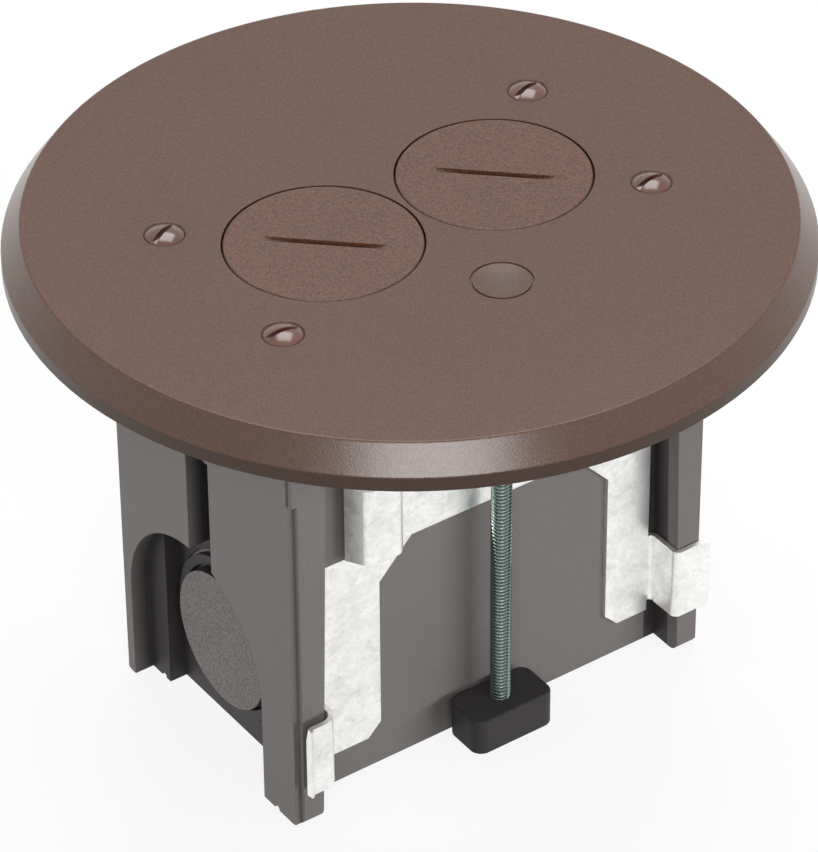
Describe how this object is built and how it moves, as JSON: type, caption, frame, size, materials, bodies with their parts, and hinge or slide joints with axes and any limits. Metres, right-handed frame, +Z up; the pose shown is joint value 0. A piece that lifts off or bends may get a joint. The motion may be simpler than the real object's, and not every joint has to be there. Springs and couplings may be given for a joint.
{
  "type": "floor socket box",
  "caption": "Round floor cover with slotted screw plugs over a duplex receptacle in a plastic box, held by bent steel brackets with long screws and plastic feet.",
  "frame": {"origin": "middle of the box at its lowest face", "axes": "+Z up through the cover, +X through both plugs, -Y the near long side in the picture"},
  "size_m": [0.1524, 0.1524, 0.108],
  "materials": {
    "cover": "satin, fine moulded grain",
    "plug": "satin, coarser moulded grain",
    "cover_screw": "gloss brown enamel",
    "gasket": "matte foam rubber",
    "seal": "matte",
    "box": "satin warm grey",
    "foot": "satin dark grey",
    "galvanised": "galvanised, mottled",
    "zinc": "bright zinc plate",
    "strap": "zinc plated",
    "face": "satin brown",
    "device_body": "matte",
    "brass": "bright",
    "brass_screw": "satin",
    "plated_screw": "bright zinc plate",
    "green_screw": "green"
  },
  "bodies": {
    "box": {"cover_plate": "cover", "cover_gasket": "gasket", "cover_screws": "cover_screw", "box_body": "box", "bracket_front": "galvanised", "bracket_rear": "galvanised", "receptacle_yoke": "strap", "receptacle_face": "face", "receptacle_body": "device_body", "hot_contact": "brass", "neutral_contact": "brass", "ground_contact": "brass", "hot_terminal_screws": "brass_screw", "neutral_terminal_screws": "plated_screw", "ground_screw": "green_screw", "yoke_screws": "plated_screw", "receptacle_rivets": "brass_screw"},
    "plug_left_carrier": {"plug_seal_left": "seal"},
    "plug_left": {"plug_cap_left": "plug"},
    "plug_right_carrier": {"plug_seal_right": "seal"},
    "plug_right": {"plug_cap_right": "plug"},
    "clamp_screw_front": {"clamp_screw_front": "zinc"},
    "clamp_foot_front": {"clamp_foot_front": "foot"},
    "clamp_screw_rear": {"clamp_screw_rear": "zinc"},
    "clamp_foot_rear": {"clamp_foot_rear": "foot"}
  },
  "joints": [
    {"name": "plug_left_lift", "type": "slide", "parent": "box", "child": "plug_left_carrier", "axis": [0, 0, 1], "range_m": [0, 0.007]},
    {"name": "plug_left_turn", "type": "hinge", "parent": "plug_left_carrier", "child": "plug_left", "pos_m": [-0.01945, 0, 0.107], "axis": [0, 0, 1], "range_deg": [0, 1260]},
    {"name": "plug_right_lift", "type": "slide", "parent": "box", "child": "plug_right_carrier", "axis": [0, 0, 1], "range_m": [0, 0.007]},
    {"name": "plug_right_turn", "type": "hinge", "parent": "plug_right_carrier", "child": "plug_right", "pos_m": [0.01945, 0, 0.107], "axis": [0, 0, 1], "range_deg": [0, 1260]},
    {"name": "clamp_screw_front_turn", "type": "hinge", "parent": "box", "child": "clamp_screw_front", "pos_m": [0, -0.0293, 0.099], "axis": [0, 0, -1], "range_deg": [0, 31750]},
    {"name": "clamp_foot_front_climb", "type": "slide", "parent": "box", "child": "clamp_foot_front", "axis": [0, 0, 1], "range_m": [0, 0.07]},
    {"name": "clamp_screw_rear_turn", "type": "hinge", "parent": "box", "child": "clamp_screw_rear", "pos_m": [0, 0.0293, 0.099], "axis": [0, 0, -1], "range_deg": [0, 31750]},
    {"name": "clamp_foot_rear_climb", "type": "slide", "parent": "box", "child": "clamp_foot_rear", "axis": [0, 0, 1], "range_m": [0, 0.07]}
  ],
  "couplings": [
    {"joint": "plug_left_turn", "follows": "plug_left_lift", "rad_per_m": 3141.6},
    {"joint": "plug_right_turn", "follows": "plug_right_lift", "rad_per_m": 3141.6},
    {"joint": "clamp_screw_front_turn", "follows": "clamp_foot_front_climb", "rad_per_m": 7915.8},
    {"joint": "clamp_screw_rear_turn", "follows": "clamp_foot_rear_climb", "rad_per_m": 7915.8}
  ]
}
